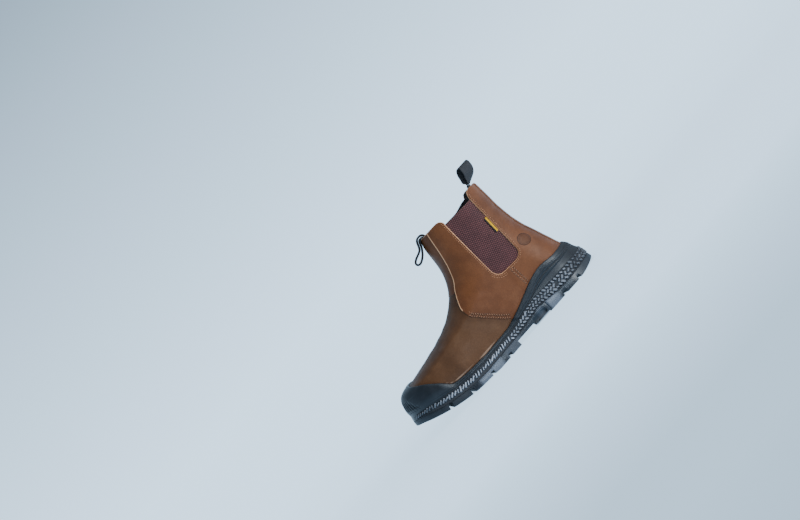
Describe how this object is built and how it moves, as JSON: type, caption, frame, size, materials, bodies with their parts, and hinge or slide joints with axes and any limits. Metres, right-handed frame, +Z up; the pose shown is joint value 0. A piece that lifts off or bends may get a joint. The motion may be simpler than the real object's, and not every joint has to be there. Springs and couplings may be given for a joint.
{
  "type": "slip-on work boot",
  "caption": "Ankle-high leather slip-on work boot for the left foot, with elastic side panels, webbing pull loops and a moulded non-slip rubber sole with a toe bumper.",
  "frame": {"origin": "centre of the boot's plan, at the floor it stands on", "axes": "+X towards the toe, +Y towards the outer side of the foot, +Z up"},
  "size_m": [0.3074, 0.1139, 0.2028],
  "materials": {
    "outsole_rubber": "matt black",
    "midsole_rubber": "satin black",
    "insole_cloth": "black cloth over foam",
    "upper_leather": "waxed brown pull-up leather",
    "strip_leather": "waxed brown pull-up leather",
    "gusset_elastic": "dark speckled woven elastic",
    "loop_webbing": "black woven webbing",
    "label_cloth": "yellow woven tape"
  },
  "bodies": {
    "root": {"outsole": "outsole_rubber", "midsole": "midsole_rubber", "insole": "insole_cloth", "upper": "upper_leather", "back_strip": "strip_leather", "gusset_lateral": "gusset_elastic", "gusset_medial": "gusset_elastic", "pull_loop": "loop_webbing", "front_loop": "loop_webbing", "side_label": "label_cloth"}
  },
  "joints": []
}
